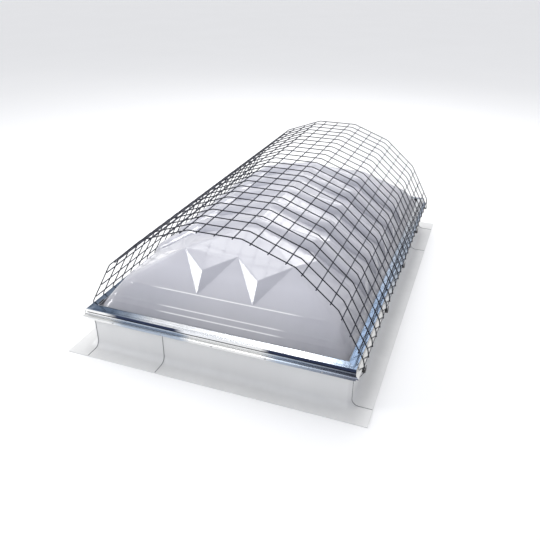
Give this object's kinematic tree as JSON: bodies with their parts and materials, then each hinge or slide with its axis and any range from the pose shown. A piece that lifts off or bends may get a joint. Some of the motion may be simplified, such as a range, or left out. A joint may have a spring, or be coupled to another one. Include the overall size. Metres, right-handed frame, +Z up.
{
  "type": "roof skylight",
  "caption": "Fixed rectangular roof skylight: ribbed opal dome clamped in an aluminium frame on a clad upstand with a foot flange, under an arched wire mesh.",
  "frame": {"origin": "centre of the foot flange, on the plane of its underside", "axes": "+X along the short side, +Y along the long side towards the rear, +Z up"},
  "size_m": [1.328, 2.006, 0.6158],
  "materials": {
    "cladding": "satin, slightly streaked",
    "insulation": "matte foam",
    "lining": "smooth white",
    "gasket": "matte black",
    "frame": "mill finish, polished by the die",
    "screws": "satin",
    "dome_outer": "opal, glossy",
    "dome_inner": "opal, satin",
    "cage": "dull galvanised wire",
    "clips": "matte black"
  },
  "bodies": {
    "root": {"cladding_front_left": "cladding", "cladding_front": "cladding", "cladding_right": "cladding", "cladding_right_rear": "cladding", "cladding_back": "cladding", "cladding_left": "cladding", "core_front": "insulation", "core_back": "insulation", "core_right": "insulation", "core_left": "insulation", "lining_front": "lining", "lining_back": "lining", "lining_right": "lining", "lining_left": "lining", "upstand_gasket": "gasket", "frame_front": "frame", "frame_back": "frame", "frame_right": "frame", "frame_left": "frame", "dome_seal": "gasket", "clamp_front": "frame", "clamp_back": "frame", "clamp_right": "frame", "clamp_left": "frame", "clamp_gasket": "gasket", "gasket_plug": "gasket", "frame_screws": "screws", "dome_outer": "dome_outer", "dome_inner": "dome_inner", "cage_top_flat": "cage", "cage_upper_right": "cage", "cage_middle_right": "cage", "cage_lower_right": "cage", "cage_feet_right": "cage", "cage_upper_left": "cage", "cage_middle_left": "cage", "cage_lower_left": "cage", "cage_feet_left": "cage", "cage_clips_right": "clips", "cage_clips_left": "clips"}
  },
  "joints": []
}
